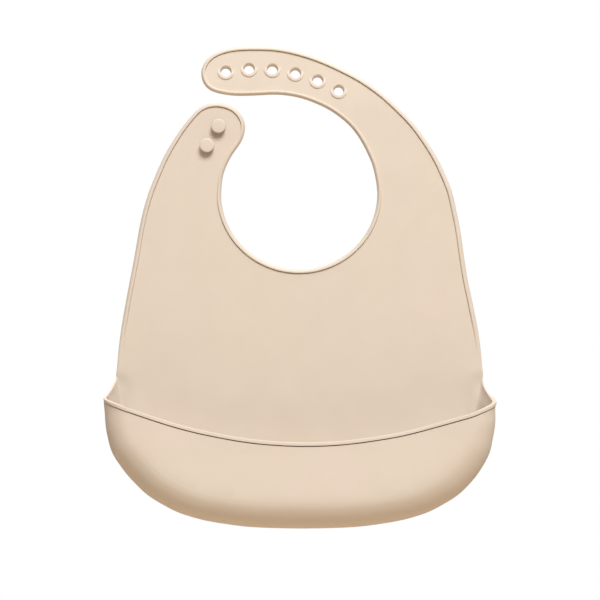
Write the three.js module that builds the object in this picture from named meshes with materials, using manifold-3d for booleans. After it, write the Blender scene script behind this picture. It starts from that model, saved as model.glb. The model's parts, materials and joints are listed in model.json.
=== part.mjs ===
// Silicone feeding bib with a food-catching pocket, a holed neck strap and a studded tab.
// Millimetres, +Z up the bib, +Y towards the wearer. The origin is the centre of the neck opening,
// in the middle of the sheet's thickness. The soft moulding is split at the lines where it bends.

import * as THREE from 'three';
import { mergeVertices } from 'three/addons/utils/BufferGeometryUtils.js';
import Module from 'manifold-3d';

const wasm = await Module();
wasm.setup();

// Sheet and raised edge bead
const SHEET_BACK = 1.0;
const SHEET_FRONT = -1.0;
const BEAD_FRONT = -2.6;
const BEAD_ROOT = 0.5;
const BEAD_WIDTH = 2.8;
const PIECE_GAP = 0.3;
const HINGE_GAP = 1.5;

// Neck opening: the oval that its lower part follows, from its right end clockwise to its left end
const NECK_CENTRE = [-0.8, -2.2];
const NECK_RADII = [46.4, 45.3];
const NECK_START_ANGLE = 16.0;
const NECK_END_ANGLE = -190.0;
const NECK_STATIONS = 15;
const NECK_RIM_REACH = 62.0;

// The apron's half-width at each height above the pocket
const SIDE_PROFILE = [
  [110.0, -114.0], [107.7, -90.0], [103.9, -66.0], [99.3, -42.0], [95.3, -18.0], [90.6, 0.0], [82.8, 18.0],
  [72.8, 34.0],
];
const HIDDEN_BOTTOM = [[-90.0, -125.0], [0.0, -130.0], [90.0, -125.0]];
const WAIST_Z = -88.0;
const WAIST_GAP = 2.0;

// Strap: its outer edge and round tip, then its inner edge down to the neck opening
const STRAP_EDGE = [
  [60.5, 48.0], [46.4, 60.0], [27.2, 72.0], [4.0, 81.6], [-20.0, 85.7], [-42.0, 84.8], [-54.0, 80.8],
  [-59.3, 71.0], [-56.4, 62.0], [-47.0, 57.0], [-31.0, 56.6], [-13.4, 57.2], [1.4, 54.9], [15.6, 49.0],
  [25.7, 41.9], [33.4, 33.6], [40.2, 21.5],
];
const STRAP_HUB = [-22.0, -18.0];
const STRAP_HINGE_START = 37.8;
const STRAP_HINGE_PITCH = 17.7;
const STRAP_LINKS = ['strap_root', 'strap_lower_middle', 'strap_upper_middle', 'strap_tip'];

// Tab: from the neck opening round its top to the apron's left side
const TAB_EDGE = [
  [-44.2, 14.2], [-39.6, 22.6], [-34.6, 30.2], [-33.0, 37.4], [-35.6, 45.2], [-41.6, 50.6], [-50.4, 52.2],
  [-59.4, 49.2],
];
const TAB_HINGE_ANGLES = [186.0, 164.0];
const STRAP_TAB_DIVIDE_Z = 54.4;

// Fastener holes with raised collars along an arc of the strap, and mushroom studs on the tab
const HOLE_COUNT = 6;
const HOLE_ARC_CENTRE = [-25.8, -26.2];
const HOLE_ARC_RADIUS = 99.2;
const HOLE_ARC_START = 100.7;
const HOLE_ARC_PITCH = -8.09;
const HOLE_RADIUS = 3.3;
const COLLAR_RADIUS = 5.0;
const COLLAR_FRONT = -2.1;
const STUDS = { stud_upper: [-48.5, 38.6], stud_lower: [-55.4, 27.1] };
const STUD_PROFILE = [[0.0, 0.0], [2.7, 0.0], [2.7, 3.2], [4.3, 3.5], [4.3, 4.5], [3.4, 5.4], [0.0, 5.4]];

// Pocket: right half of its outline from the ear to the middle of the bottom, and its depth
const POCKET_PROFILE = [
  [113.6, -110.0], [113.7, -126.0], [113.7, -138.0], [111.6, -151.0], [104.4, -167.1], [90.7, -181.4],
  [71.0, -192.0], [50.0, -197.2], [25.0, -199.8],
];
const POCKET_BOTTOM_Z = -200.6;
const POCKET_DEPTH = 38.0;
const WALL = 2.0;
const WALL_INSET = 16.0;
const LAP_INSET = 6.0;
const LAP_CORNER_Z = -114.6;
const LIP_RADIUS = 255.0;
const LIP_MIDDLE_Z = -150.6;
const LIP_BEAD_RADIUS = 1.8;
const LIP_SPLIT_X = 93.5;
const LIP_EAR_GAP = 1.8;
const WALL_SPLIT_X = 72.0;
const FRONT_WALL_GAP = 0.6;
const FRONT_WALL_MARGIN = 1.0;
const EAR_TOP_Z = -129.2;
const EAR_SIDE_TOP = [
  [2.0, -116.6], [-1.5, -120.0], [-7.0, -126.5], [-17.0, -130.0], [-28.0, -131.2], [-36.0, -133.4],
  [-60.0, -133.4],
];
const EAR_STATIONS = [
  [112.2, -1.0, -114.5], [112.9, -7.0, -121.5], [113.2, -17.0, -126.0], [109.3, -28.5, -127.2],
];
const EAR_STEPS = 12;

const SILICONE = { color: 0xe6d2bd, roughness: 0.55, metalness: 0.0 };
const OUTLINE_STEPS = 168;
const POCKET_STEPS = 56;
const ROUND_STEPS = 24;
const LIP_STEPS = 24;
const BEAD_SEGMENTS = 5;
const BEND_LINE_START = 20.0;
const BEND_LINE_END = 120.0;
const FAR = 160.0;

const bib = new THREE.Group();

// ---- Plane outlines: lists of [x, z] ----

function direction(degrees) {
  const angle = THREE.MathUtils.degToRad(degrees);
  return [Math.cos(angle), Math.sin(angle)];
}

function mirrored(points) {
  return points.map(([x, z]) => [-x, z]);
}

function smooth(points, closed, steps) {
  const curve = new THREE.CatmullRomCurve3(points.map(([x, z]) => new THREE.Vector3(x, z, 0)), closed);
  const samples = curve.getSpacedPoints(steps).map((point) => [point.x, point.y]);
  return closed ? samples.slice(0, -1) : samples;
}

function neckArc() {
  const stations = [];
  for (let i = 0; i <= NECK_STATIONS; i += 1) {
    const [x, z] = direction(NECK_START_ANGLE + ((NECK_END_ANGLE - NECK_START_ANGLE) * i) / NECK_STATIONS);
    stations.push([NECK_CENTRE[0] + NECK_RADII[0] * x, NECK_CENTRE[1] + NECK_RADII[1] * z]);
  }
  return stations;
}

function edgeNormals(points, closed) {
  const last = points.length - 1;
  return points.map((point, i) => {
    const before = points[i > 0 ? i - 1 : (closed ? last : 0)];
    const after = points[i < last ? i + 1 : (closed ? 0 : last)];
    const run = [after[0] - before[0], after[1] - before[1]];
    const length = Math.hypot(run[0], run[1]);
    return [-run[1] / length, run[0] / length];
  });
}

function offset(points, distance, closed = true) {
  const normals = edgeNormals(points, closed);
  return points.map(([x, z], i) => [x + normals[i][0] * distance, z + normals[i][1] * distance]);
}

// Anticlockwise outline of the flat moulding above the pocket, so a positive offset goes inwards.
function bibOutline() {
  const left = mirrored(SIDE_PROFILE).reverse();
  const stations = [...SIDE_PROFILE, ...STRAP_EDGE, ...neckArc(), ...TAB_EDGE, ...left, ...HIDDEN_BOTTOM];
  return smooth(stations, true, OUTLINE_STEPS);
}

// Right ear, round the bottom, to the left ear: clockwise, so inwards is the negative offset.
function pocketOutline() {
  const left = mirrored(POCKET_PROFILE).reverse();
  return smooth([...POCKET_PROFILE, [0, POCKET_BOTTOM_Z], ...left], false, POCKET_STEPS);
}

// Height of the pocket wall's top edge: an arc that sags in the middle and levels out at the ears.
function wallTop(x) {
  return Math.min(LIP_MIDDLE_Z + LIP_RADIUS - Math.sqrt(LIP_RADIUS ** 2 - x ** 2), EAR_TOP_Z);
}

// Points of that top edge from -reach to reach.
function lipArc(reach) {
  return Array.from({ length: LIP_STEPS + 1 }, (unused, i) => {
    const x = -reach + (2 * reach * i) / LIP_STEPS;
    return [x, wallTop(x)];
  });
}

// ---- Solids ----

// A plate of an outline, from one depth to another along Y.
function plateGeometry(outline, back, front, holes = []) {
  const shape = new THREE.Shape(outline.map(([x, z]) => new THREE.Vector2(x, z)));
  for (const hole of holes) {
    shape.holes.push(new THREE.Path(hole.map(([x, z]) => new THREE.Vector2(x, z))));
  }
  const geometry = new THREE.ExtrudeGeometry(shape, { depth: back - front, bevelEnabled: false });
  geometry.rotateX(Math.PI / 2);
  geometry.translate(0, back, 0);
  return geometry;
}

// A closed section of [inset, depth] points swept along an open outline, with flat ends.
function sweptWallGeometry(path, section) {
  const normals = edgeNormals(path, false);
  const positions = [];
  const faces = [];
  const count = section.length;
  path.forEach(([x, z], i) => {
    const [inX, inZ] = [-normals[i][0], -normals[i][1]];
    for (const [inset, depth] of section) {
      positions.push(x + inX * inset, -depth, z + inZ * inset);
    }
  });
  for (let i = 0; i < path.length - 1; i += 1) {
    for (let j = 0; j < count; j += 1) {
      const next = (j + 1) % count;
      const a = i * count + j;
      const b = i * count + next;
      faces.push(a, b, b + count, a, b + count, a + count);
    }
  }
  const end = (path.length - 1) * count;
  const cap = THREE.ShapeUtils.triangulateShape(section.map(([u, v]) => new THREE.Vector2(u, v)), []);
  for (const [a, b, c] of cap) {
    faces.push(a, b, c, end + c, end + b, end + a);
  }
  const geometry = new THREE.BufferGeometry();
  geometry.setAttribute('position', new THREE.Float32BufferAttribute(positions, 3));
  geometry.setIndex(faces);
  return geometry;
}

function solid(geometry) {
  const bare = geometry.clone();
  bare.deleteAttribute('normal');
  bare.deleteAttribute('uv');
  const merged = mergeVertices(bare, 1e-4);
  const mesh = new wasm.Mesh({
    numProp: 3,
    vertProperties: new Float32Array(merged.attributes.position.array),
    triVerts: new Uint32Array(merged.index.array),
  });
  return new wasm.Manifold(mesh);
}

function geometryOf(manifold) {
  const mesh = manifold.getMesh();
  const geometry = new THREE.BufferGeometry();
  geometry.setAttribute('position', new THREE.Float32BufferAttribute(mesh.vertProperties, 3));
  geometry.setIndex(Array.from(mesh.triVerts));
  return geometry;
}

function addNode(name, geometry) {
  const shaded = geometry.clone();
  shaded.computeVertexNormals();
  const mesh = new THREE.Mesh(shaded, new THREE.MeshStandardMaterial(SILICONE));
  mesh.name = name;
  bib.add(mesh);
}

// A zone is the space over a polygon of [x, z], deeper than the whole bib.
function zone(polygon) {
  return solid(plateGeometry(polygon, FAR, -FAR));
}

// The two ends of a bend line that runs out from a hub, moved sideways by shift.
function bendLine(hub, degrees, shift) {
  const [ux, uz] = direction(degrees);
  const at = (radius) => [hub[0] + ux * radius - uz * shift, hub[1] + uz * radius + ux * shift];
  return { inner: at(BEND_LINE_START), outer: at(BEND_LINE_END) };
}

// ---- The flat moulding: chest, strap and tab ----

const half = HINGE_GAP / 2;
const outline = bibOutline();
const sheet = solid(plateGeometry(outline, SHEET_BACK, SHEET_FRONT));
const insideBead = offset(outline, BEAD_WIDTH);
const proudRing = solid(plateGeometry(outline, SHEET_FRONT + BEAD_ROOT, BEAD_FRONT, [insideBead]));
const beadedSheet = sheet.add(proudRing);
const fullRing = solid(plateGeometry(outline, SHEET_BACK, BEAD_FRONT, [insideBead]));
const insetSheet = solid(plateGeometry(offset(outline, BEAD_WIDTH + PIECE_GAP), SHEET_BACK, SHEET_FRONT));

function circle([x, z], radius, steps = ROUND_STEPS) {
  return Array.from({ length: steps }, (unused, i) => {
    const [ux, uz] = direction((360 * i) / steps);
    return [x + radius * ux, z + radius * uz];
  });
}

function addChest() {
  const strapLine = bendLine(STRAP_HUB, STRAP_HINGE_START, -half);
  const tabLine = bendLine([0, 0], TAB_HINGE_ANGLES[0], half);
  const floorZ = WAIST_Z + WAIST_GAP / 2;
  const chest = zone([
    [-FAR, floorZ], [FAR, floorZ], [FAR, strapLine.outer[1]], strapLine.outer, strapLine.inner, [0, 0],
    tabLine.inner, tabLine.outer,
  ]);
  const rims = fullRing.intersect(chest);
  const neckDisc = solid(plateGeometry(circle([0, 0], NECK_RIM_REACH, OUTLINE_STEPS / 3), FAR, -FAR));
  const outerRims = rims.subtract(neckDisc);
  const rightSide = zone([[0, -FAR], [FAR, -FAR], [FAR, FAR], [0, FAR]]);
  addNode('chest_panel', geometryOf(insetSheet.intersect(chest)));
  addNode('neck_rim', geometryOf(rims.intersect(neckDisc)));
  addNode('chest_rim_right', geometryOf(outerRims.intersect(rightSide)));
  addNode('chest_rim_left', geometryOf(outerRims.subtract(rightSide)));
}

function holeCentre(index) {
  const [ux, uz] = direction(HOLE_ARC_START + HOLE_ARC_PITCH * index);
  return [HOLE_ARC_CENTRE[0] + HOLE_ARC_RADIUS * ux, HOLE_ARC_CENTRE[1] + HOLE_ARC_RADIUS * uz];
}

function strapZone(link) {
  const near = bendLine(STRAP_HUB, STRAP_HINGE_START + STRAP_HINGE_PITCH * link, half);
  if (link < STRAP_LINKS.length - 1) {
    const far = bendLine(STRAP_HUB, STRAP_HINGE_START + STRAP_HINGE_PITCH * (link + 1), -half);
    return zone([near.inner, near.outer, far.outer, far.inner]);
  }
  const share = (STRAP_TAB_DIVIDE_Z - near.inner[1]) / (near.outer[1] - near.inner[1]);
  const dividing = [near.inner[0] + share * (near.outer[0] - near.inner[0]), STRAP_TAB_DIVIDE_Z];
  return zone([dividing, near.outer, [-FAR, near.outer[1]], [-FAR, STRAP_TAB_DIVIDE_Z]]);
}

function addStrap() {
  let strap = beadedSheet;
  for (let i = 0; i < HOLE_COUNT; i += 1) {
    strap = strap.subtract(solid(plateGeometry(circle(holeCentre(i), HOLE_RADIUS), FAR, -FAR)));
  }
  STRAP_LINKS.forEach((name, link) => addNode(name, geometryOf(strap.intersect(strapZone(link)))));
  for (let i = 0; i < HOLE_COUNT; i += 1) {
    const centre = holeCentre(i);
    const bore = circle(centre, HOLE_RADIUS).reverse();
    const ring = circle(centre, COLLAR_RADIUS);
    const collar = plateGeometry(ring, SHEET_FRONT - PIECE_GAP, COLLAR_FRONT, [bore]);
    addNode(`eyelet_collar_${i + 1}`, collar);
  }
}

function addTab() {
  const rootNear = bendLine([0, 0], TAB_HINGE_ANGLES[0], -half);
  const rootFar = bendLine([0, 0], TAB_HINGE_ANGLES[1], half);
  const tipNear = bendLine([0, 0], TAB_HINGE_ANGLES[1], -half);
  const rootZone = zone([rootFar.inner, rootFar.outer, rootNear.outer, rootNear.inner]);
  const tipZone = zone([
    tipNear.inner, [STRAP_HUB[0], STRAP_TAB_DIVIDE_Z], [-FAR, STRAP_TAB_DIVIDE_Z], tipNear.outer,
  ]);
  addNode('tab_root', geometryOf(beadedSheet.intersect(rootZone)));
  addNode('tab_tip', geometryOf(beadedSheet.intersect(tipZone)));
  for (const [name, [x, z]] of Object.entries(STUDS)) {
    const stud = new THREE.LatheGeometry(STUD_PROFILE.map(([r, y]) => new THREE.Vector2(r, y)), ROUND_STEPS);
    stud.rotateX(Math.PI);
    stud.translate(x, SHEET_FRONT - PIECE_GAP, z);
    addNode(name, stud);
  }
}

// ---- The pocket ----

// Section of the pocket's wall: out of the sheet, forward with a slight bulge, and round to the front.
const WALL_SECTION = [
  [LAP_INSET - PIECE_GAP, -SHEET_BACK], [2.2, -0.6], [0.5, 2.4], [0.0, 11.0], [0.7, 20.0], [2.9, 28.0],
  [6.4, 33.6], [10.8, 36.9], [WALL_INSET, POCKET_DEPTH], [WALL_INSET, POCKET_DEPTH - WALL], [11.4, 35.0],
  [7.8, 32.2], [4.8, 27.2], [2.7, 19.6], [2.0, 11.0], [2.4, 3.2], [LAP_INSET - PIECE_GAP, -SHEET_FRONT],
];

// The space under the front wall's arc, and at the ears under an edge that climbs back to the apron.
function underLip() {
  const arc = lipArc(LIP_SPLIT_X);
  const front = zone([[-LIP_SPLIT_X, -FAR * 2], [LIP_SPLIT_X, -FAR * 2], ...arc.reverse()]);
  const [behind] = EAR_SIDE_TOP;
  const ahead = EAR_SIDE_TOP[EAR_SIDE_TOP.length - 1];
  const sideOutline = [[ahead[0], -FAR * 2], [behind[0], -FAR * 2], ...EAR_SIDE_TOP];
  const profile = new THREE.Shape(sideOutline.map(([y, z]) => new THREE.Vector2(y, z)));
  const side = new THREE.ExtrudeGeometry(profile, { depth: FAR, bevelEnabled: false });
  side.rotateX(Math.PI / 2);
  side.rotateZ(Math.PI / 2);
  const right = solid(side.clone().translate(LIP_SPLIT_X, 0, 0));
  const left = solid(side.clone().translate(-LIP_SPLIT_X - FAR, 0, 0));
  return front.add(right).add(left);
}

function addPocketWalls() {
  const wall = solid(sweptWallGeometry(pocketOutline(), WALL_SECTION));
  const trimmed = wall.intersect(underLip());
  const split = WALL_SPLIT_X;
  const span = (from, to) => zone([[from, -FAR * 2], [to, -FAR * 2], [to, 0], [from, 0]]);
  addNode('pocket_wall_left', geometryOf(trimmed.intersect(span(-FAR, -split - PIECE_GAP))));
  addNode('pocket_wall_bottom', geometryOf(trimmed.intersect(span(-split, split))));
  addNode('pocket_wall_right', geometryOf(trimmed.intersect(span(split + PIECE_GAP, FAR))));
}

function addLapPanel() {
  const pocket = offset(pocketOutline(), -LAP_INSET, false);
  const sideSteps = SIDE_PROFILE.slice(0, 2);
  const topZ = WAIST_Z - WAIST_GAP / 2;
  const below = pocket.filter(([, z]) => z < LAP_CORNER_Z);
  const right = [...sideSteps].reverse().map(([x, z]) => [x, Math.min(z, topZ)]);
  const left = mirrored(sideSteps).map(([x, z]) => [x, Math.min(z, topZ)]);
  addNode('lap_panel', plateGeometry([...right, ...below, ...left].reverse(), SHEET_BACK, SHEET_FRONT));
}

function addPocketFront() {
  const lower = offset(pocketOutline(), -(WALL_INSET + FRONT_WALL_GAP), false);
  const kept = lower.filter(([x, z]) => z < wallTop(x) - FRONT_WALL_MARGIN);
  const outline = [...kept, ...lipArc(kept[0][0])].reverse();
  addNode('pocket_front_wall', plateGeometry(outline, -(POCKET_DEPTH - WALL), -POCKET_DEPTH));
}

function beadAlong(points, steps) {
  const section = new THREE.Shape();
  section.absarc(0, 0, LIP_BEAD_RADIUS, 0, Math.PI * 2);
  const path = new THREE.CatmullRomCurve3(points.map((point) => new THREE.Vector3(...point)));
  const options = { steps, bevelEnabled: false, extrudePath: path, curveSegments: BEAD_SEGMENTS };
  return new THREE.ExtrudeGeometry(section, options);
}

function addPocketLip() {
  const rise = LIP_BEAD_RADIUS + PIECE_GAP;
  const wallMiddle = -(POCKET_DEPTH - WALL / 2);
  const cornerX = LIP_SPLIT_X + LIP_EAR_GAP;
  const ear = [...EAR_STATIONS, [cornerX, wallMiddle, wallTop(cornerX) + rise + PIECE_GAP]];
  const front = lipArc(LIP_SPLIT_X).map(([x, z]) => [x, wallMiddle, z + rise]);
  addNode('pocket_lip', beadAlong(front, LIP_STEPS));
  addNode('lip_ear_right', beadAlong(ear, EAR_STEPS));
  addNode('lip_ear_left', beadAlong(ear.map(([x, y, z]) => [-x, y, z]), EAR_STEPS));
}

addChest();
addStrap();
addTab();
addPocketWalls();
addLapPanel();
addPocketFront();
addPocketLip();

export default bib;
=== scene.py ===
"""Looks of the silicone feeding bib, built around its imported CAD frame.

The real bib is one soft moulding. Its visible skin is modelled as a flat moulding with a raised edge bead
and eyelets, a pocket with a rolled lip, and two studs. The flat moulding is cut at seams that lie in rigid
stretches, so that each length can bend across one joint of the frame. Shapes are worked out in millimetres,
as [x, z] outlines and depths in front of the sheet's middle, and become metres in a mesh.
"""

import json
import math

import bmesh
import bpy
import numpy as np
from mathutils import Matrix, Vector
from mathutils.geometry import delaunay_2d_cdt

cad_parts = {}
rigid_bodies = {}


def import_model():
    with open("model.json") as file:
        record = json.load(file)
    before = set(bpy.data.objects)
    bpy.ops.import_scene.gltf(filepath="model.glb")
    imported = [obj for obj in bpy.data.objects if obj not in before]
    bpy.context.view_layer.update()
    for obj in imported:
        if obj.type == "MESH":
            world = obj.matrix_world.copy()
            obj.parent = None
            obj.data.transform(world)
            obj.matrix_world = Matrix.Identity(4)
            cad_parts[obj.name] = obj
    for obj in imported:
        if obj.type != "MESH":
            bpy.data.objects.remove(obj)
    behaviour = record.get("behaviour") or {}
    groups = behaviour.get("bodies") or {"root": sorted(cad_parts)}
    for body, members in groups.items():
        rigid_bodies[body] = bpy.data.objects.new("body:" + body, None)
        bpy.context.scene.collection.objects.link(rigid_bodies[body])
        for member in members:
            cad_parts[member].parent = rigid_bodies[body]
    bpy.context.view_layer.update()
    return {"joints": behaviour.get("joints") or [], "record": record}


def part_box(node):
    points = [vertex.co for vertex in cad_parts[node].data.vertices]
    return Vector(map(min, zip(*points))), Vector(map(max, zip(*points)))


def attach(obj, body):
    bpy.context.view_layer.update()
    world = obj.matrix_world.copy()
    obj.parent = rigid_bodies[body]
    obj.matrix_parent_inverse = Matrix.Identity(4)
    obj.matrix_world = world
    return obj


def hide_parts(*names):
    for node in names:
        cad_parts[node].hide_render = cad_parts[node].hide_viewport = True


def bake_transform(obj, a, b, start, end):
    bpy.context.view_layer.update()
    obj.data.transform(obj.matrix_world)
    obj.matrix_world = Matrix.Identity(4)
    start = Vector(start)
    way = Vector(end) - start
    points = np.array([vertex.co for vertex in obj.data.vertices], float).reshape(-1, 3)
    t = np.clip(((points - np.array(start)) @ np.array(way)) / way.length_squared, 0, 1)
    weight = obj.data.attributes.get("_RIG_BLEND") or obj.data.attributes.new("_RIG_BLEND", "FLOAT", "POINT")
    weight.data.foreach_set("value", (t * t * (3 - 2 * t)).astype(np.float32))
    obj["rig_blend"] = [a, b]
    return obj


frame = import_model()

MM = 0.001
joints = {joint["name"]: joint for joint in frame["joints"]}
bodies = frame["record"]["behaviour"]["bodies"]


def node_mm(name):
    """Lowest and highest corner of a CAD node, in millimetres."""
    low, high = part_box(name)
    return np.array(low) / MM, np.array(high) / MM


# ---- Sizes, in millimetres ----

HALF_SHEET = 1.0
# The oval that the neck opening's lower part follows, between its ends in degrees
NECK_CENTRE = np.array([-0.3, -2.4])
NECK_RADII = np.array([46.9, 45.4])
NECK_SPAN = (5.0, -184.0)
NECK_STEP = 7.0

# Edges of the apron from the pocket up to the shoulder, as distances from the middle. The sides differ a bit.
RIGHT_SIDE = [
    (111.9, -126.0), (111.1, -120.0), (110.2, -114.0), (107.9, -90.0), (103.4, -66.0), (100.8, -54.0),
    (98.9, -42.0), (96.3, -24.0), (93.9, -12.0), (91.1, 0.0), (87.0, 10.0), (82.4, 19.5), (75.7, 30.0),
    (68.1, 40.0),
]
LEFT_SIDE = [
    (111.9, -126.0), (111.1, -120.0), (110.2, -114.0), (108.0, -90.0), (104.1, -66.0), (99.5, -42.0),
    (96.4, -24.0), (93.8, -12.0), (90.1, 0.0), (86.0, 10.0), (81.8, 19.5), (75.7, 30.0), (68.7, 40.0),
]
# The strap's outer edge from the shoulder round its tip, and its inner edge back to the neck opening
STRAP_OUTER = [
    (60.3, 48.0), (50.4, 57.2), (38.2, 66.0), (27.2, 72.0), (14.6, 77.8), (1.4, 82.4), (-13.0, 85.5),
    (-27.4, 86.1), (-41.8, 85.2), (-52.9, 81.1), (-58.5, 74.2), (-59.0, 67.2), (-54.5, 60.0), (-41.8, 56.7),
]
STRAP_INNER = [
    (-27.4, 56.6), (-13.0, 57.2), (1.4, 54.9), (15.8, 49.1), (26.1, 42.1), (32.2, 36.1), (37.1, 28.9),
    (40.9, 21.5), (44.0, 14.0),
]
# The tab, from the neck opening round its tip to the left shoulder
TAB = [
    (-46.3, 7.2), (-44.0, 14.4), (-40.2, 21.6), (-35.0, 28.8), (-32.6, 36.0), (-33.2, 42.1), (-35.7, 45.9),
    (-39.4, 49.5), (-46.0, 51.9), (-53.0, 52.1), (-60.2, 49.3),
]
# How finely the outline is made: steps between its points, its even spacing and the passes that relax it
OUTLINE_SPAN_STEPS = 12
OUTLINE_STEP = 1.5
OUTLINE_PASSES = 6
# Flat areas are filled over a grid of this step. Its rows lie closer by a share of it, and it keeps off the
# edges by another share.
FILL_STEP = 5.0
FILL_ROW_SHARE = 0.866
FILL_MARGIN_SHARE = 0.45

# Seams between the pieces: across the apron at a height, across the strap at angles about a hub, and across
# the tab at angles about the origin
WAIST_SEAM_Z = -107.0
STRAP_HUB = np.array([-22.0, -18.0])
STRAP_SEAMS = (28.0, 46.65, 64.35, 82.05)
TAB_SEAMS = (197.0, 175.0)
# The strap lies above this height, or to the right of a line and above a lower height. The tab lies below it.
STRAP_TAB_DIVIDE_Z = 54.4
STRAP_LEAST_X = 20.0
STRAP_LEAST_Z = -8.0
# Faces up to this far above the waist seam are offered to its cut
WAIST_CUT_REACH = 20.0

# Edge bead from the front of the sheet round to its back, as inset and depth, for a bead of this width, and
# the plain rounded edge that it fades into above the pocket, between two heights
BEAD_UNIT = 3.0
BEAD = [
    (4.4, 1.0), (3.9, 1.0), (3.65, 1.0), (3.46, 1.0), (3.34, 1.0), (3.22, 1.0), (3.13, 1.03), (3.1, 1.12),
    (3.08, 1.35), (3.05, 1.62), (2.98, 1.8), (2.82, 1.88), (2.4, 1.9), (1.9, 1.9), (1.62, 1.84),
    (1.3, 1.66), (0.5, 0.95), (0.14, 0.55), (0.0, 0.1), (0.05, -0.3), (0.3, -0.7), (0.65, -0.93),
    (1.0, -1.0), (1.8, -1.0), (4.4, -1.0),
]
PLAIN_EDGE = [
    (4.4, 1.0), (3.9, 1.0), (3.6, 1.0), (3.4, 1.0), (3.2, 1.0), (3.0, 1.0), (2.8, 1.0), (2.6, 1.0),
    (2.4, 1.0), (2.2, 1.0), (2.0, 1.0), (1.7, 1.0), (1.4, 1.0), (1.0, 1.0), (0.62, 0.92), (0.29, 0.71),
    (0.08, 0.38), (0.0, 0.1), (0.0, -0.1), (0.08, -0.38), (0.29, -0.71), (0.62, -0.92), (1.0, -1.0),
    (1.8, -1.0), (4.4, -1.0),
]
BEAD_FADE = (-68.0, -104.0)
# The bead is narrower near the middle than at the apron's sides, and widens between two distances from it
BEAD_WIDTH_MIDDLE = 2.2
BEAD_WIDTH_SIDE = 2.65
BEAD_WIDENING = (62.0, 90.0)
# Rows of the bead that lie in the groove at its foot. The groove is sunk, and darkened with painted shade,
# where the bead hangs above it, and fades out between two directions, where -1 means that the bead lies below
# it and 1 above it.
GROOVE_ROWS = (4, 5)
GROOVE_DEPTH = 0.25
GROOVE_FACING = (-0.35, 0.75)

# Eyelets at even angles along an arc of the strap
HOLE_COUNT = 6
HOLE_ARC_CENTRE = np.array([-25.8, -26.2])
HOLE_ARC_RADIUS = 99.2
HOLE_ARC_START = 100.7
HOLE_ARC_PITCH = -8.09
# Radius and depth of an eyelet's surface, front to back, where its collar stands highest
EYELET = [
    (6.6, 1.0), (5.7, 1.0), (5.3, 1.0), (5.18, 1.02), (5.14, 1.1), (5.12, 1.35), (5.06, 1.47), (4.9, 1.52),
    (4.4, 1.54), (3.75, 1.54), (3.52, 1.48), (3.42, 1.3), (3.32, 0.7), (3.2, 0.0), (3.08, -0.7),
    (3.15, -0.92), (3.5, -1.0), (4.6, -1.0), (6.6, -1.0),
]
EYELET_STEPS = 48
# The bore leans between these depths: its back end sits this far along and below its front end
BORE_LEAN = np.array([-0.2, -1.5])
BORE_FRONT = 1.5
BORE_BACK = -0.9
COLLAR_TOP_RADIUS = 3.7
# The collar is a wedge. It rises out of the sheet between two directions from the bore, where -1 is up and 1
# is down.
COLLAR_RISE = (-0.35, 0.6)

# Mushroom studs: radius and depth, from the fillet on the tab to the middle of the head
STUD = [
    (4.6, 1.0), (3.0, 1.02), (2.5, 1.12), (2.3, 1.35), (2.25, 1.8), (2.35, 2.2), (3.0, 2.35), (3.8, 2.4),
    (4.1, 2.46), (4.22, 2.65), (4.25, 3.4), (4.25, 4.5), (4.18, 4.75), (3.98, 4.88), (3.2, 4.94), (2.0, 4.98),
    (1.0, 4.99), (0.0, 5.0),
]
# The soft head hangs this much lower than its foot, and the stem leans between two depths
STUD_DROOP = 0.7
STUD_DROOP_REACH = (1.2, 2.6)
# The head's side is darkened by painted shade of this much between these depths
HEAD_PAINTED_SHADE = 0.4
HEAD_UNDERSIDE = 2.3
HEAD_TOP = 4.6
STUD_STEPS = 64

# Pocket outline, right half from above the ear to the middle of the bottom
POCKET_TOP_Z = -100.0
POCKET_SIDE = [
    (113.7, POCKET_TOP_Z), (113.9, -126.0), (114.3, -132.0), (114.1, -139.0), (113.1, -146.0),
    (110.9, -156.0), (104.4, -167.1), (98.3, -174.3), (90.7, -181.4), (78.8, -188.5), (71.0, -192.0),
    (58.2, -195.7), (42.2, -198.4), (27.5, -199.9),
]
# How finely the outline is made, as for the flat moulding, and how many points the skin has along it
POCKET_SPAN_STEPS = 16
POCKET_STEP = 1.0
POCKET_PASSES = 8
POCKET_STATIONS = 230
# The outline sways to the right on its way down, by a distance over a span. Spans and reaches from here on
# are distances below the origin.
SWAYS = [(0.4, 126.0, 138.0), (1.4, 144.0, 180.0)]
# The sides flare out by this much beside the mouth. The span holds where it rises, is full, and falls.
MOUTH_FLARE = 0.6
FLARE_SPAN = (117.5, 124.5, 125.5, 133.0)
WALL = 2.0
# The wall thins to this beside the bare rim at the ears, over a span of the same kind and within a margin
EAR_WALL = 1.1
EAR_SPAN = (107.5, 115.0, 121.0, 128.0)
EAR_MARGIN = 9.0
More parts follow.
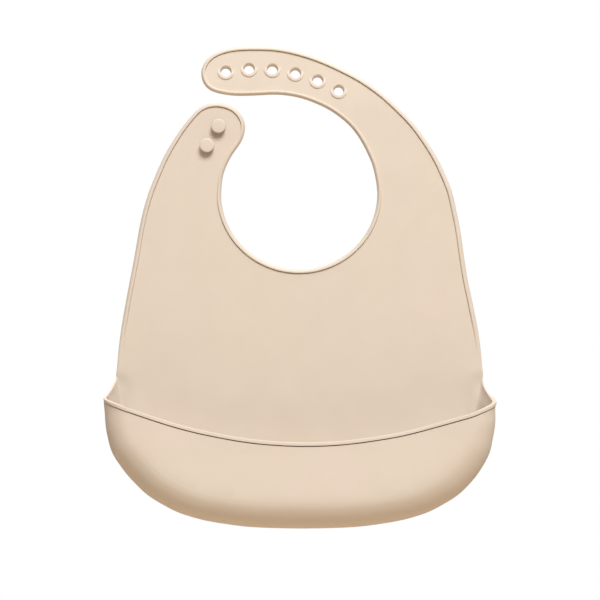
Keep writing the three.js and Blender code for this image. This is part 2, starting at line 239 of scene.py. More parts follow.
# Matched sections of the pocket's skin, from the back of the sheet to the flat front. Each row has the inset
# and depth beside the apron with the height at which the rim crosses it, then inset and depth at the ears,
# where the sheet scoops forward into the wall, then inset and depth round the bottom.
POCKET_SECTIONS = [
    (22.0, -1.0, POCKET_TOP_Z, 22.0, -1.0, 22.0, -1.0), (14.0, -1.0, POCKET_TOP_Z, 17.5, -1.0, 13.0, -1.0),
    (9.0, -1.0, POCKET_TOP_Z, 14.0, -0.9, 9.4, -1.0), (6.6, -1.0, POCKET_TOP_Z, 12.0, -0.55, 7.2, -1.0),
    (5.15, -1.0, -107.0, 8.6, -0.5, 5.6, -0.98), (4.7, -1.0, -110.0, 7.6, 0.1, 4.2, -0.9),
    (4.1, -0.88, -112.8, 6.6, 0.9, 3.0, -0.55), (3.2, 0.3, -115.2, 5.6, 2.1, 1.9, 0.15),
    (2.4, 2.6, -117.3, 4.6, 4.1, 1.1, 1.4), (1.7, 5.6, -119.2, 3.7, 7.0, 0.5, 3.1),
    (1.2, 9.4, -121.0, 2.8, 10.6, 0.15, 5.8), (0.8, 13.7, -122.8, 1.9, 14.6, 0.0, 9.6),
    (0.5, 18.0, -124.3, 1.1, 18.8, 0.1, 14.0), (0.3, 22.0, -125.4, 0.5, 22.6, 0.5, 18.8),
    (0.2, 26.0, -126.4, 0.6, 25.2, 1.6, 22.8), (0.9, 30.0, -127.1, 1.7, 28.7, 3.4, 26.8),
    (2.6, 33.6, -127.8, 3.8, 32.2, 5.9, 30.5), (5.4, 36.4, -128.7, 6.7, 35.0, 8.9, 33.6),
    (9.0, 37.8, -129.7, 10.0, 36.9, 12.1, 35.8), (12.8, 38.0, -130.9, 13.3, 37.8, 15.3, 37.3),
    (16.6, 38.0, -132.1, 16.6, 38.0, 18.6, 38.0),
]
RIM_ROW = 3
SCOOP_REACH = (110.0, 134.0)
BOTTOM_REACH = (132.0, 172.0)
SECTION_STEPS = 3
# Top edge of the front wall between the ears, from right to left
LIP = [
    (81.3, -138.6), (69.2, -142.0), (56.0, -145.1), (35.0, -148.4), (18.0, -150.0), (0.0, -150.4),
    (-18.0, -149.5), (-35.0, -147.5), (-56.0, -143.5), (-69.2, -140.2), (-81.3, -136.5),
]
LIP_SPAN_STEPS = 10
LIP_STEP = 1.6
LIP_PASSES = 4
# The mouth slopes: the rim is this much lower at the right ear and higher at the left one, and a little less
# so where it turns into the front lip
EAR_TILTS = (1.0, 1.9)
TILT_REACH = (107.0, 122.0)
TILT_EASE = 0.55
EASE_REACH = (125.0, 132.0)
# The flat front bows inwards by this much at a distance from its edge. Points within a margin of its depth
# lie on it.
FRONT_CROWN = -1.4
CROWN_RAMP = 34.0
FLAT_MARGIN = 0.01
# Lip from the outer skin over the top to the inner skin, as outwards and up: a flat band over a groove with
# painted shade.
# It grows out of the plain round rim at the ears.
LIP_BEAD = [
    (0.0, 0.0), (-0.4, 0.06), (-0.9, 0.14), (-1.1, 0.32), (-0.9, 0.5), (0.0, 0.56), (0.42, 0.58),
    (0.52, 0.66), (0.55, 0.9), (0.55, 2.3), (0.5, 2.52), (0.32, 2.64), (0.0, 2.64), (-0.8, 2.54),
    (-1.5, 2.38), (-1.95, 2.15), (-2.15, 1.75), (-2.15, 1.1), (-2.1, 0.5), (-2.0, 0.0),
]
# Rows of the lip that lie in its groove and get painted shade
LIP_GROOVE = (1, 5)
LIP_BEAD_RISE = (120.0, 128.0)
RIM_RUN_PASSES = 4


# ---- Curves ----

# Stands in for nought under a division
TINY = 1e-12


def direction(degrees):
    angle = math.radians(degrees)
    return np.array([math.cos(angle), math.sin(angle)])


def smoothstep(value, start, end):
    t = np.clip((value - start) / (end - start), 0.0, 1.0)
    return t * t * (3.0 - 2.0 * t)


def spline(points, steps):
    """Catmull-Rom curve through every point of an open list, with that many steps in each span."""
    p = np.array(points, float)
    p = np.vstack([2 * p[0] - p[1], p, 2 * p[-1] - p[-2]])
    curve = []
    for i in range(1, len(p) - 2):
        for k in range(steps):
            t = k / steps
            a, b, c, d = p[i - 1], p[i], p[i + 1], p[i + 2]
            square = 2 * a - 5 * b + 4 * c - d
            cube = 3 * b - a - 3 * c + d
            curve.append(0.5 * (2 * b + (c - a) * t + square * t**2 + cube * t**3))
    curve.append(p[-2])
    return np.array(curve)


def lengths(curve):
    """Distance along an open curve to each of its points."""
    return np.concatenate([[0.0], np.cumsum(np.linalg.norm(np.diff(curve, axis=0), axis=1))])


def along(curve, distances):
    """Points of a curve at given distances along it."""
    s = lengths(curve)
    return np.stack([np.interp(distances, s, curve[:, k]) for k in range(curve.shape[1])], axis=1)


def even(curve, step):
    total = lengths(curve)[-1]
    return along(curve, np.linspace(0.0, total, round(total / step) + 1))


def relaxed(curve, passes):
    """The curve with small ripples in its bends smoothed out and its ends kept."""
    out = curve.copy()
    for _ in range(passes):
        out[1:-1] += 0.5 * ((out[:-2] + out[2:]) / 2 - out[1:-1])
    return out


def left_normals(curve):
    run = np.gradient(curve, axis=0)
    run /= np.linalg.norm(run, axis=1)[:, None]
    return np.stack([-run[:, 1], run[:, 0]], axis=1)


def mirrored(points):
    return [(-x, z) for x, z in points]


def inside(points, loop):
    """Which points lie inside a closed loop, by counting the edges that a ray crosses."""
    x, z = points[:, 0, None], points[:, 1, None]
    x1, z1 = loop[:, 0], loop[:, 1]
    x2, z2 = np.roll(x1, -1), np.roll(z1, -1)
    crosses = (z1 > z) != (z2 > z)
    rise = np.where(z2 == z1, TINY, z2 - z1)
    return (crosses & (x < x1 + (z - z1) * (x2 - x1) / rise)).sum(axis=1) % 2 == 1


def clearance(points, curve):
    """Distance from each point to the nearest point of a curve."""
    return np.min(np.linalg.norm(points[:, None, :] - curve[None, :, :], axis=2), axis=1)


# ---- Meshes ----

# Mesh layer that holds how much painted shade darkens the pigment, from 0 to 1: in the grooves, inside the
# ears and on the sides of the studs' heads
PAINTED_SHADE_LAYER = "painted_shade"
# Points closer together than this are one, in metres for a cut and in millimetres for a fill
CUT_TOLERANCE = 1e-7
FILL_TOLERANCE = 1e-6
# Edges that turn by more than this are drawn sharp
SHARP_EDGE = math.radians(50.0)


class Skin:
    """Points and faces of a mesh in the making, in millimetres as x, depth, z."""

    def __init__(self):
        self.points = []
        self.faces = []
        self.painted_shades = {}

    def add(self, points):
        first = len(self.points)
        self.points.extend([tuple(float(v) for v in p) for p in points])
        return list(range(first, len(self.points)))

    def ring(self, outline, depth):
        return self.add([(x, depth, z) for x, z in outline])

    def strip(self, a, b, closed=False):
        """Quads between two rows of points."""
        count = len(a)
        for i in range(count if closed else count - 1):
            j = (i + 1) % count
            self.faces.append((a[i], a[j], b[j], b[i]))

    def fill(self, loop, holes, depth, flip):
        """Triangles over the flat area inside a loop of points and round its holes."""
        known = list(loop) + [i for hole in holes for i in hole]
        plane = np.array([(self.points[i][0], self.points[i][2]) for i in known])
        edge = plane[:len(loop)]
        edges = [(i, (i + 1) % len(loop)) for i in range(len(loop))]
        first = len(loop)
        loops = []
        for hole in holes:
            edges += [(first + i, first + (i + 1) % len(hole)) for i in range(len(hole))]
            loops.append(plane[first:first + len(hole)])
            first += len(hole)
        low, high = edge.min(axis=0), edge.max(axis=0)
        rows = np.arange(low[1], high[1], FILL_STEP * FILL_ROW_SHARE)
        grid = np.array([
            (x + (FILL_STEP / 2 if k % 2 else 0.0), z)
            for k, z in enumerate(rows) for x in np.arange(low[0], high[0], FILL_STEP)
        ])
        keep = inside(grid, edge) & (clearance(grid, plane) > FILL_STEP * FILL_MARGIN_SHARE)
        for hole in loops:
            keep &= ~inside(grid, hole)
        grid = grid[keep]
        index = known + self.add([(x, depth, z) for x, z in grid])
        spots = [Vector(p) for p in np.vstack([plane, grid])]
        result = delaunay_2d_cdt(spots, edges, [], 0, FILL_TOLERANCE)
        flat, triangles, origins = result[0], result[2], result[3]
        centres = np.array([sum((flat[i] for i in t), Vector((0.0, 0.0))) / 3 for t in triangles])
        wanted = inside(centres, edge)
        for hole in loops:
            wanted &= ~inside(centres, hole)
        for triangle, use in zip(triangles, wanted):
            if use:
                ids = [index[origins[i][0]] for i in triangle]
                self.faces.append(tuple(reversed(ids)) if flip else tuple(ids))

    def bmesh(self):
        bm = bmesh.new()
        painted_shade = bm.verts.layers.float.new(PAINTED_SHADE_LAYER)
        verts = [bm.verts.new((x * MM, -depth * MM, z * MM)) for x, depth, z in self.points]
        for i, amount in self.painted_shades.items():
            verts[i][painted_shade] = amount
        for face in self.faces:
            if len(set(face)) == len(face):
                bm.faces.new([verts[i] for i in face])
        bm.normal_update()
        return bm


def piece(bm, name, material):
    """A shaded object of a finished mesh."""
    mesh = bpy.data.meshes.new(name)
    for face in bm.faces:
        face.smooth = True
    bm.to_mesh(mesh)
    bm.free()
    mesh.set_sharp_from_angle(angle=SHARP_EDGE)
    mesh.materials.append(material)
    obj = bpy.data.objects.new(name, mesh)
    bpy.context.scene.collection.objects.link(obj)
    return obj


# ---- The flat moulding ----


def bib_outline():
    """Anticlockwise edge of the flat moulding, from the pocket on the right to the pocket on the left."""
    turns = np.arange(NECK_SPAN[0], NECK_SPAN[1], -NECK_STEP)
    neck = [tuple(NECK_CENTRE + NECK_RADII * direction(turn)) for turn in turns]
    points = RIGHT_SIDE + STRAP_OUTER + STRAP_INNER + neck + TAB + list(reversed(mirrored(LEFT_SIDE)))
    return relaxed(even(spline(points, OUTLINE_SPAN_STEPS), OUTLINE_STEP), OUTLINE_PASSES)


def bead_points(outline, groove):
    """Rows along the outline from the front of the bead to its back: each point's inset and depth."""
    x, z = outline[:, 0], outline[:, 1]
    outer = smoothstep(np.abs(x), *BEAD_WIDENING)
    scale = (BEAD_WIDTH_MIDDLE + (BEAD_WIDTH_SIDE - BEAD_WIDTH_MIDDLE) * outer) / BEAD_UNIT
    fade = smoothstep(z, *BEAD_FADE)
    rows = []
    for row, ((bead_in, bead_depth), (plain_in, plain_depth)) in enumerate(zip(BEAD, PLAIN_EDGE)):
        inset = np.where(bead_depth > -HALF_SHEET, bead_in * scale, bead_in)
        depth = bead_depth - GROOVE_DEPTH * groove * (row in GROOVE_ROWS)
        rows.append((inset + (plain_in - inset) * fade, depth + (plain_depth - depth) * fade))
    return rows


def add_eyelet(skin, centre):
    """A raised collar with a leaning, tapered bore. Returns its front and back foot rings."""
    turns = [direction(angle) for angle in np.linspace(0.0, 360.0, EYELET_STEPS, endpoint=False)]
    rise = smoothstep(-np.array(turns)[:, 1], *COLLAR_RISE)
    rings = []
    for radius, depth in EYELET:
        leaning = radius < COLLAR_TOP_RADIUS or depth < 0.0
        middle = centre + BORE_LEAN * smoothstep(depth, BORE_FRONT, BORE_BACK) * leaning
        above = max(depth - HALF_SHEET, 0.0)
        depths = depth - above * (1.0 - rise)
        places = [middle + radius * turn for turn in turns]
        rings.append(skin.add([(x, d, z) for (x, z), d in zip(places, depths)]))
    for a, b in zip(rings, rings[1:]):
        skin.strip(a, b, closed=True)
    return rings[0], rings[-1]


def flat_moulding():
    """The whole sheet with its edge bead and eyelets, in one mesh."""
    outline = bib_outline()
    normals = left_normals(outline)
    groove = smoothstep(-normals[:, 1], *GROOVE_FACING)
    skin = Skin()
    rows = []
    for inset, depth in bead_points(outline, groove):
        ring = outline + normals * inset[:, None]
        rows.append(skin.add([(x, d, z) for (x, z), d in zip(ring, depth)]))
    # Painted shade in the groove where the bead hangs above it, fading out with the bead above the pocket
    groove_painted_shade = groove * (1.0 - smoothstep(outline[:, 1], *BEAD_FADE))
    for row in GROOVE_ROWS:
        skin.painted_shades.update(zip(rows[row], groove_painted_shade))
    for a, b in zip(rows, rows[1:]):
        skin.strip(b, a)
    eyelets = []
    for i in range(HOLE_COUNT):
        centre = HOLE_ARC_CENTRE + HOLE_ARC_RADIUS * direction(HOLE_ARC_START + HOLE_ARC_PITCH * i)
        eyelets.append(add_eyelet(skin, centre))
    skin.fill(rows[0], [front for front, back in eyelets], HALF_SHEET, flip=False)
    skin.fill(rows[-1], [back for front, back in eyelets], -HALF_SHEET, flip=True)
    return skin.bmesh()


def angle_about(centre, x, z):
    return math.degrees(math.atan2(z - centre[1], x - centre[0])) % 360.0


STRAP_PIECES = ["strap_a", "strap_b", "strap_c", "strap_d"]
STRAIGHT_UP = 90.0


def zone_of(face):
    """Name of the piece that a face of the flat moulding belongs to."""
    centre = face.calc_center_median()
    x, z = centre.x / MM, centre.z / MM
    about_hub = angle_about(STRAP_HUB, x, z)
    if z > STRAP_TAB_DIVIDE_Z or (x > 0 and z > 0 and about_hub > STRAP_SEAMS[0]):
        passed = sum(about_hub > seam for seam in STRAP_SEAMS)
        return STRAP_PIECES[passed - 1]
    about_neck = angle_about((0.0, 0.0), x, z)
    if STRAIGHT_UP < about_neck < TAB_SEAMS[1]:
        return "tab_b"
    if STRAIGHT_UP < about_neck < TAB_SEAMS[0]:
        return "tab_a"
    return "apron"


def cut(bm, place, across, near):
    """Cuts the faces near a seam along the plane through place and square to across, both as [x, z]."""
    chosen = [f for f in bm.faces if near(f.calc_center_median() / MM)]
    edges = {e for f in chosen for e in f.edges}
    verts = {v for f in chosen for v in f.verts}
    bmesh.ops.bisect_plane(
        bm, geom=list(verts) + list(edges) + chosen, dist=CUT_TOLERANCE,
        plane_co=(place[0] * MM, 0.0, place[1] * MM), plane_no=(across[0], 0.0, across[1]),
    )


def near_strap(centre):
    return (centre.z > STRAP_TAB_DIVIDE_Z or centre.x > STRAP_LEAST_X) and centre.z > STRAP_LEAST_Z


def near_tab(centre):
    return centre.x < 0.0 and centre.z < STRAP_TAB_DIVIDE_Z


def near_waist(centre):
    return centre.z < WAIST_SEAM_Z + WAIST_CUT_REACH


def split_flat_moulding(material):
    """The flat moulding's pieces by name, cut at their seams."""
    bm = flat_moulding()
    for seam in STRAP_SEAMS:
        u = direction(seam)
        cut(bm, STRAP_HUB, (-u[1], u[0]), near_strap)
    for seam in TAB_SEAMS:
        u = direction(seam)
        cut(bm, (0.0, 0.0), (-u[1], u[0]), near_tab)
    cut(bm, (0.0, WAIST_SEAM_Z), (0.0, 1.0), near_waist)
    gone = [f for f in bm.faces if f.calc_center_median().z < WAIST_SEAM_Z * MM]
    bmesh.ops.delete(bm, geom=gone, context="FACES")
    pieces = {}
    for name in STRAP_PIECES + ["tab_a", "tab_b", "apron"]:
        part = bm.copy()
        others = [face for face in part.faces if zone_of(face) != name]
        bmesh.ops.delete(part, geom=others, context="FACES")
        pieces[name] = piece(part, name, material)
    bm.free()
    return pieces


# ---- The pocket ----


def pocket_outline():
    """The pocket's outer edge from above the right ear round the bottom to above the left one, as [x, z]."""
    bottom_z = node_mm("pocket_wall_bottom")[0][2]
    left = list(reversed(mirrored(POCKET_SIDE)))
    curve = spline(POCKET_SIDE + [(0.0, bottom_z)] + left, POCKET_SPAN_STEPS)
    outline = relaxed(even(curve, POCKET_STEP), POCKET_PASSES)
    outline[:, 0] += sum(shift * smoothstep(-outline[:, 1], start, end) for shift, start, end in SWAYS)
    return outline


def pocket_rings():
    """Rings of the outer skin from the back of the sheet to the flat front: arrays of x, depth, z."""
    outline = pocket_outline()
    inward = -left_normals(outline)
    below = -outline[:, 1]
    low, full_from, full_to, high = FLARE_SPAN
    flare = MOUTH_FLARE * smoothstep(below, low, full_from) * (1.0 - smoothstep(below, full_to, high))
    outline[:, 0] += flare * np.sign(outline[:, 0])
    distance = lengths(outline)
    half = len(outline) // 2
    rings = []
    for row in spline(POCKET_SECTIONS, SECTION_STEPS):
        beside, rim_z, ear, bottom = row[0:2], row[2], row[3:5], row[5:7]
        eased = TILT_EASE * smoothstep(-rim_z, *EASE_REACH)
        right, left = [tilt * smoothstep(-rim_z, *TILT_REACH) - eased for tilt in EAR_TILTS]
        start, end = np.interp([right - rim_z, -left - rim_z], -outline[:half, 1], distance[:half])
        s = np.linspace(start, distance[-1] - end, POCKET_STATIONS)
        base = along(outline, s)
        normal = np.stack([np.interp(s, distance, inward[:, k]) for k in range(2)], axis=1)
        scoop = smoothstep(-base[:, 1], *SCOOP_REACH)[:, None]
        under = smoothstep(-base[:, 1], *BOTTOM_REACH)[:, None]
        section = beside + (ear - beside) * scoop
        section = section + (bottom - section) * under
        spot = base + normal * section[:, :1]
        rings.append(np.stack([spot[:, 0], section[:, 1], spot[:, 1]], axis=1))
    return rings


def lip_line(start, end):
    """Top edge of the front wall, from a point at the right ear to one at the left ear, as [x, z]."""
    return relaxed(even(spline([start] + LIP + [end], LIP_SPAN_STEPS), LIP_STEP), LIP_PASSES)


def pocket_skin():
    """The pocket's outer skin, and its rim as indices from the right seam round the lip to the left seam."""
    rings = pocket_rings()
    skin = Skin()
    rows = [skin.add(ring) for ring in rings]
    for a, b in zip(rows, rows[1:]):
        skin.strip(b, a)
    last = rings[-1]
    front = last[0][1]
    lip = lip_line((last[0][0], last[0][2]), (last[-1][0], last[-1][2]))
    lip_ids = skin.ring(lip[1:-1], front)
    skin.fill(rows[-1] + list(reversed(lip_ids)), [], front, flip=False)
    skin.fill(rows[0], [], -HALF_SHEET, flip=True)
    first_rim = RIM_ROW * SECTION_STEPS
    rim = [row[0] for row in rows[first_rim:]] + lip_ids + [row[-1] for row in reversed(rows[first_rim:])]
    ring_xz = last[:, [0, 2]]
    for i, (x, depth, z) in enumerate(skin.points):
        if depth > front - FLAT_MARGIN:
            away = float(clearance(np.array([[x, z]]), ring_xz)[0])
            skin.points[i] = (x, depth + FRONT_CROWN * float(smoothstep(away, 0.0, CROWN_RAMP)), z)
    return skin, rim


def wall_thickness(points, rim):
    """Thickness of the wall behind each point of the outer skin, thinner near the rim at the ears."""
    places = np.array(points)
    edge = places[rim]
    below = -edge[:, 2]
    low, bare_from, bare_to, high = EAR_SPAN
    thinning = smoothstep(below, low, bare_from) * (1.0 - smoothstep(below, bare_to, high))
    away = np.linalg.norm(places[:, None, :] - edge[None, :, :], axis=2)
    share = (thinning[None, :] * (1.0 - smoothstep(away, 0.0, EAR_MARGIN))).max(axis=1)
    return WALL - (WALL - EAR_WALL) * share * smoothstep(-places[:, 2], low, bare_from)


def rim_frames(path, normals):
    """Outward and upward directions along the rim, evened out between neighbours."""
    out = np.array(normals)
    out[1:-1] = (out[:-2] + out[1:-1] + out[2:]) / 3
    run = relaxed(np.gradient(np.array(path), axis=0), RIM_RUN_PASSES)
    up = np.cross(run, out)
    up /= np.linalg.norm(up, axis=1)[:, None]
    out = np.cross(up, run)
    out /= np.linalg.norm(out, axis=1)[:, None]
    return [Vector(v) for v in out], [Vector(v) for v in up]


# Inside the right and left ears the silicone is darkened by painted shade of this much, growing outwards and
# downwards
EAR_PAINTED_SHADES = (0.09, 0.14)
EAR_SHADE_X = (96.0, 106.0)
EAR_SHADE_Z = (-108.0, -118.0)


def ear_painted_shade(spot):
    shade = EAR_PAINTED_SHADES[1] if spot.x < 0.0 else EAR_PAINTED_SHADES[0]
    return shade * smoothstep(abs(spot.x), *EAR_SHADE_X) * smoothstep(spot.z, *EAR_SHADE_Z)


def rim_row(bm, outer, inner, thickness, n, up):
    """Vertices over the rim from an outer one to an inner one: plain and round at the ears, a lip between."""
    painted_shade = bm.verts.layers.float[PAINTED_SHADE_LAYER]
    place = outer.co.copy()
    full = float(smoothstep(-place.z / MM, *LIP_BEAD_RISE))
    row = [outer]
    for step, (bead_out, bead_up) in list(enumerate(LIP_BEAD))[1:-1]:
        turn = direction(180.0 * step / (len(LIP_BEAD) - 1))
        plain = (turn + (-1.0, 0.0)) * thickness / 2
        bead = np.array([bead_out * (thickness / WALL if bead_out < 0.0 else 1.0), bead_up])
        out, rise = plain + (bead - plain) * full
        vert = bm.verts.new(place + n * out * MM + up * rise * MM)
        # Painted shade in the lip's groove where the lip is full
        vert[painted_shade] = full * (LIP_GROOVE[0] < step < LIP_GROOVE[1])
        row.append(vert)
    row.append(inner)
    return row


def pocket_mesh():
    """The pocket's outer skin, a wall inside it and the rim that joins them, cut off at the waist."""
    skin, rim = pocket_skin()
    thickness = wall_thickness(skin.points, rim)
    bm = skin.bmesh()
    bm.verts.ensure_lookup_table()
    outer = [v.co.copy() for v in bm.verts]
    normals = [v.normal.copy() for v in bm.verts]
    inner = [bm.verts.new(co - n * t * MM) for co, n, t in zip(outer, normals, thickness)]
    painted_shade = bm.verts.layers.float[PAINTED_SHADE_LAYER]
    # Painted shade on the inner wall inside the ears
    for vert in inner:
        vert[painted_shade] = ear_painted_shade(vert.co / MM)
    verts = list(bm.verts)[:len(outer)]
    index = {v: i for i, v in enumerate(verts)}
    for face in list(bm.faces):
        bm.faces.new([inner[index[v]] for v in reversed(face.verts)])
    frames = rim_frames([outer[i] for i in rim], [normals[i] for i in rim])
    rows = [rim_row(bm, verts[i], inner[i], thickness[i], n, up) for i, n, up in zip(rim, *frames)]
    for a, b in zip(rows, rows[1:]):
        for j in range(len(a) - 1):
            bm.faces.new((a[j], a[j + 1], b[j + 1], b[j]))
    bmesh.ops.bisect_plane(
        bm, geom=list(bm.verts) + list(bm.edges) + list(bm.faces), dist=CUT_TOLERANCE,
        plane_co=(0.0, 0.0, WAIST_SEAM_Z * MM), plane_no=(0.0, 0.0, 1.0), clear_outer=True,
    )
    bmesh.ops.recalc_face_normals(bm, faces=list(bm.faces))
    return bm


# ---- Studs ----


def stud_mesh(centre):
    """A stud on the tab, with its foot at a centre."""
    skin = Skin()
    around = np.linspace(0.0, 360.0, STUD_STEPS, endpoint=False)
    rings = []
    foot, head = STUD_DROOP_REACH
    for radius, depth in STUD[:-1]:
        middle = np.array([centre[0], centre[1] - STUD_DROOP * smoothstep(depth, foot, head)])
        rings.append(skin.ring([middle + radius * direction(a) for a in around], depth))
        # Painted shade on the sides of the stud's head
        if HEAD_UNDERSIDE < depth < HEAD_TOP:
            skin.painted_shades.update({i: HEAD_PAINTED_SHADE for i in rings[-1]})
    for a, b in zip(rings, rings[1:]):
        skin.strip(a, b, closed=True)
    tip = skin.add([(centre[0], STUD[-1][1], centre[1] - STUD_DROOP)])[0]
    for i in range(STUD_STEPS):
        skin.faces.append((rings[-1][i], rings[-1][(i + 1) % STUD_STEPS], tip))
    return skin.bmesh()


# ---- Materials ----

SHADE_DARK = (0.718, 0.612, 0.508, 1.0)
SHADE_PINK = (0.780, 0.673, 0.572, 1.0)
SHADE_CREAM = (0.776, 0.689, 0.574, 1.0)
# Painted light: the strap's pigment is made a little paler than the rest, more so with height between these
# places in metres
STRAP_PAINTED_LIGHT_COLOUR = (0.832, 0.730, 0.620, 1.0)
STRAP_PAINTED_LIGHT_Z = (0.040, 0.070)
PAINTED_SHADE_COLOUR = (0.150, 0.090, 0.045, 1.0)
# Noise patterns: scale, detail and roughness of the noise, the noise values that count as least and most, and
# what those become, which is a share of the second pigment, or for the polish the roughness of the surface
BLOTCHES = {"noise": (17.0, 2.0, 0.5), "values": (0.35, 0.65), "results": (0.15, 0.85)}
CLOUDS = {"noise": (60.0, 3.0, 0.5), "values": (0.35, 0.75), "results": (0.0, 0.22)}
SPECKS = {"noise": (2600.0, 1.0, 0.5), "values": (0.66, 0.78), "results": (0.0, 0.35)}
POLISH = {"noise": (220.0, 4.0, 0.6), "values": (0.3, 0.7), "results": (0.46, 0.60)}
# Noise that shapes the surface, and how far in metres it stands out
WAVES = (22.0, 1.0, 0.5)
WAVE_HEIGHT = 0.0007
GRAIN = (2400.0, 2.0, 0.5)
GRAIN_HEIGHT = 0.000012
SPECULAR_LEVEL = 0.4
SHEEN_WEIGHT = 0.12
SHEEN_ROUGHNESS = 0.5
# The mix node's sockets that are colours
MIX_COLOURS_IN = (6, 7)
MIX_COLOUR_OUT = 2


class Nodes:
    """Adds and links shader nodes in a tree."""

    def __init__(self, tree):
        self.tree = tree

    def add(self, kind, **values):
        node = self.tree.nodes.new(kind)
        for key, value in values.items():
            setattr(node, key, value)
        return node

    def link(self, source, target):
        self.tree.links.new(source, target)

    def noise(self, place, scale, detail, roughness):
        node = self.add("ShaderNodeTexNoise")
        node.inputs["Scale"].default_value = scale
        node.inputs["Detail"].default_value = detail
        node.inputs["Roughness"].default_value = roughness
        self.link(place, node.inputs["Vector"])
        return node.outputs["Fac"]

    def remap(self, value, low, high, to_low, to_high):
        node = self.add("ShaderNodeMapRange")
        for key, number in zip(("From Min", "From Max", "To Min", "To Max"), (low, high, to_low, to_high)):
            node.inputs[key].default_value = number
        self.link(value, node.inputs["Value"])
        return node.outputs["Result"]

    def pattern(self, place, settings):
        noise = self.noise(place, *settings["noise"])
        return self.remap(noise, *settings["values"], *settings["results"])

    def mix(self, factor, first, second):
        """A colour mix; first and second are sockets or fixed colours."""
        node = self.add("ShaderNodeMix", data_type="RGBA")
        self.link(factor, node.inputs["Factor"])
        for colour, socket in zip((first, second), MIX_COLOURS_IN):
            if isinstance(colour, tuple):
                node.inputs[socket].default_value = colour
            else:
                self.link(colour, node.inputs[socket])
        return node.outputs[MIX_COLOUR_OUT]

    def bump(self, height, distance, under=None):
        node = self.add("ShaderNodeBump")
        node.inputs["Distance"].default_value = distance
        self.link(height, node.inputs["Height"])
        if under is not None:
            self.link(under, node.inputs["Normal"])
        return node.outputs["Normal"]


def silicone():
    """Satin-matte silicone: uneven pigment, painted light and shade, a faintly wavy sheet and the fine grain
    of the mould's face.
    """
    material = bpy.data.materials.new("silicone")
    material.use_nodes = True
    nodes = Nodes(material.node_tree)
    shader = material.node_tree.nodes["Principled BSDF"]
    place = nodes.add("ShaderNodeTexCoord").outputs["Object"]
    blotches = nodes.pattern(place, BLOTCHES)
    clouds = nodes.pattern(place, CLOUDS)
    specks = nodes.pattern(place, SPECKS)
    split = nodes.add("ShaderNodeSeparateXYZ")
    nodes.link(place, split.inputs["Vector"])
    # Painted light: paler pigment higher up the strap
    strap = nodes.remap(split.outputs["Z"], *STRAP_PAINTED_LIGHT_Z, 0.0, 1.0)
    pigment = nodes.mix(blotches, SHADE_PINK, SHADE_CREAM)
    pigment = nodes.mix(strap, pigment, STRAP_PAINTED_LIGHT_COLOUR)
    pigment = nodes.mix(clouds, pigment, SHADE_DARK)
    pigment = nodes.mix(specks, pigment, SHADE_DARK)
    # Painted shade: the mesh layer mixes the pigment towards a dark brown
    painted_shade = nodes.add("ShaderNodeAttribute", attribute_name=PAINTED_SHADE_LAYER).outputs["Fac"]
    nodes.link(nodes.mix(painted_shade, pigment, PAINTED_SHADE_COLOUR), shader.inputs["Base Color"])
    nodes.link(nodes.pattern(place, POLISH), shader.inputs["Roughness"])
    waves = nodes.bump(nodes.noise(place, *WAVES), WAVE_HEIGHT)
    grain = nodes.bump(nodes.noise(place, *GRAIN), GRAIN_HEIGHT, waves)
    nodes.link(grain, shader.inputs["Normal"])
    shader.inputs["Specular IOR Level"].default_value = SPECULAR_LEVEL
    shader.inputs["Sheen Weight"].default_value = SHEEN_WEIGHT
    shader.inputs["Sheen Roughness"].default_value = SHEEN_ROUGHNESS
    return material


# ---- Build ----

STRAP_JOINTS = ["strap_curl_1", "strap_curl_2", "strap_curl_3", "strap_curl_4"]
STRAP_BODIES = ["strap_root", "strap_lower_middle", "strap_upper_middle", "strap_tip"]
# The strap and the tab bend over this many millimetres on each side of a joint
BEND_REACH = 11.0
# The apron bends between these heights, and the pocket from its back to its front between these depths
WAIST_BEND_Z = (-60.0, -106.5)
POCKET_BEND_DEPTH = (2.0, 36.0)


def body_centre(body):
    low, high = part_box(bodies[body][0])
    return (low + high) / 2


def bend_across(obj, joint_name):
    """Bends a piece over a joint of the strap or tab."""
    joint = joints[joint_name]
    place = Vector(joint["pos_m"])
    tangent = Vector((0.0, 1.0, 0.0)).cross(Vector(joint["axis"])).normalized()
    child_way = body_centre(joint["child"]) - place
    if child_way.dot(tangent) < 0:
        tangent.negate()
    reach = tangent * BEND_REACH * MM
    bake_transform(obj, joint["parent"], joint["child"], start=place - reach, end=place + reach)


skin_material = silicone()
flat = split_flat_moulding(skin_material)
pocket = piece(pocket_mesh(), "pocket", skin_material)
studs = {}
for name in ("stud_upper", "stud_lower"):
    low, high = node_mm(name)
    middle = ((low[0] + high[0]) / 2, (low[2] + high[2]) / 2)
    studs[name] = piece(stud_mesh(middle), name + "_skin", skin_material)

for name, joint_name in zip(STRAP_PIECES, STRAP_JOINTS):
    bend_across(flat[name], joint_name)
bend_across(flat["tab_a"], "tab_curl_1")
bend_across(flat["tab_b"], "tab_curl_2")
waist_start, waist_end = [(0.0, 0.0, z * MM) for z in WAIST_BEND_Z]
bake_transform(flat["apron"], "chest", "lap", start=waist_start, end=waist_end)
pocket_start, pocket_end = [(0.0, -depth * MM, 0.0) for depth in POCKET_BEND_DEPTH]
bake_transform(pocket, "lap", "pocket", start=pocket_start, end=pocket_end)
for name, stud in studs.items():
    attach(stud, "tab_tip")
    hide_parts(name)

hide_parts(*bodies["chest"])
for name, body in zip(STRAP_PIECES, STRAP_BODIES):
    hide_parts(*bodies[body])
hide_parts("tab_root")
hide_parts("tab_tip")
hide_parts(*bodies["lap"], *bodies["pocket"])

# ---- Stage, light and camera ----

FLOOR_Z = -0.62
FLOOR_RADIUS = 1.6
FLOOR_STEPS = 96
FLOOR_COLOUR = (0.61, 0.475, 0.34, 1.0)
FLOOR_ROUGHNESS = 0.8
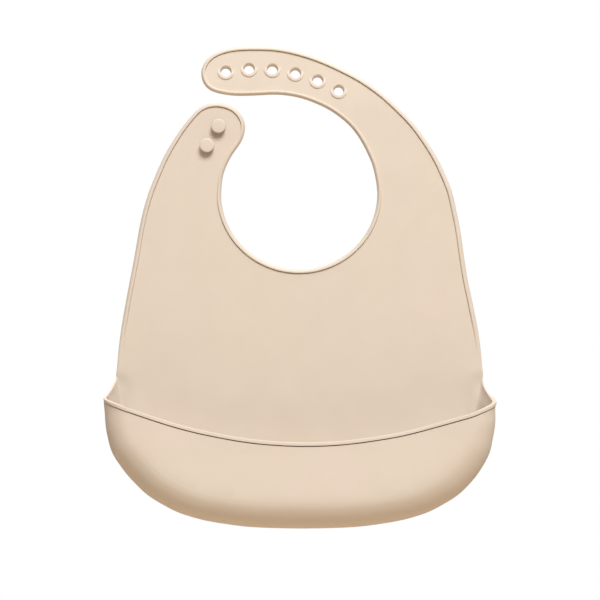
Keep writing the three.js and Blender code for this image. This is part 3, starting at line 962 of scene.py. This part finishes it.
# Heights, from straight down (0) to straight up (1), and the soft sky's colour there
SKY = [
    (0.0, (0.06, 0.04, 0.03)), (0.42, (0.08, 0.055, 0.03)), (0.6, (0.28, 0.25, 0.215)),
    (1.0, (0.94, 0.95, 0.98)),
]
WHITE = (1.0, 1.0, 1.0, 1.0)
CAMERA_X = 0.0002
CAMERA_DISTANCE = 0.85
CAMERA_HEIGHT = -0.066
FRAME_WIDTH = 0.36
SENSOR = 36.0
LIGHT_TARGET = (0.0, 0.0, -0.07)
# The main light hangs high in front, and a weak one behind shows the bib's back
KEY_PLACE = (0.45, -1.75, 1.8)
KEY_SIZE = 1.2
KEY_POWER = 57.0
BACK_PLACE = (-0.7, 1.9, 0.75)
BACK_SIZE = 1.6
BACK_POWER = 9.0


def set_stage():
    """A round floor far enough below the bib that the main view doesn't show it."""
    mesh = bpy.data.meshes.new("floor")
    bm = bmesh.new()
    bmesh.ops.create_circle(bm, cap_ends=True, radius=FLOOR_RADIUS, segments=FLOOR_STEPS)
    bm.to_mesh(mesh)
    bm.free()
    floor = bpy.data.objects.new("floor", mesh)
    floor.location = (0.0, 0.0, FLOOR_Z)
    material = bpy.data.materials.new("floor")
    material.use_nodes = True
    shader = material.node_tree.nodes["Principled BSDF"]
    shader.inputs["Base Color"].default_value = FLOOR_COLOUR
    shader.inputs["Roughness"].default_value = FLOOR_ROUGHNESS
    mesh.materials.append(material)
    bpy.context.scene.collection.objects.link(floor)


def set_world():
    """A soft sky that is brightest overhead, seen by the camera as plain white."""
    world = bpy.data.worlds.new("studio")
    bpy.context.scene.world = world
    world.use_nodes = True
    world.node_tree.nodes.clear()
    nodes = Nodes(world.node_tree)
    split = nodes.add("ShaderNodeSeparateXYZ")
    nodes.link(nodes.add("ShaderNodeTexCoord").outputs["Generated"], split.inputs["Vector"])
    ramp = nodes.add("ShaderNodeValToRGB")
    nodes.link(nodes.remap(split.outputs["Z"], -1.0, 1.0, 0.0, 1.0), ramp.inputs["Fac"])
    for height, _ in SKY[1:-1]:
        ramp.color_ramp.elements.new(height)
    for element, (height, colour) in zip(ramp.color_ramp.elements, SKY):
        element.position = height
        element.color = (*colour, 1.0)
    sky = nodes.add("ShaderNodeBackground")
    nodes.link(ramp.outputs["Color"], sky.inputs["Color"])
    backdrop = nodes.add("ShaderNodeBackground")
    backdrop.inputs["Color"].default_value = WHITE
    mix = nodes.add("ShaderNodeMixShader")
    nodes.link(nodes.add("ShaderNodeLightPath").outputs["Is Camera Ray"], mix.inputs["Fac"])
    nodes.link(sky.outputs["Background"], mix.inputs[1])
    nodes.link(backdrop.outputs["Background"], mix.inputs[2])
    nodes.link(mix.outputs["Shader"], nodes.add("ShaderNodeOutputWorld").inputs["Surface"])


def set_camera():
    camera = bpy.data.cameras.new("camera")
    camera.sensor_width = SENSOR
    camera.lens = SENSOR * CAMERA_DISTANCE / FRAME_WIDTH
    obj = bpy.data.objects.new("camera", camera)
    obj.location = (CAMERA_X, -CAMERA_DISTANCE, CAMERA_HEIGHT)
    obj.rotation_euler = (math.pi / 2, 0.0, 0.0)
    bpy.context.scene.collection.objects.link(obj)
    bpy.context.scene.camera = obj


def area_light(name, place, size, power):
    light = bpy.data.lights.new(name, "AREA")
    light.shape = "DISK"
    light.size = size
    light.energy = power
    obj = bpy.data.objects.new(name, light)
    obj.location = place
    obj.rotation_euler = (Vector(LIGHT_TARGET) - Vector(place)).to_track_quat("-Z", "Y").to_euler()
    bpy.context.scene.collection.objects.link(obj)


set_stage()
set_world()
set_camera()
area_light("key", KEY_PLACE, KEY_SIZE, KEY_POWER)
area_light("back_fill", BACK_PLACE, BACK_SIZE, BACK_POWER)
bpy.context.scene.view_settings.view_transform = "Standard"
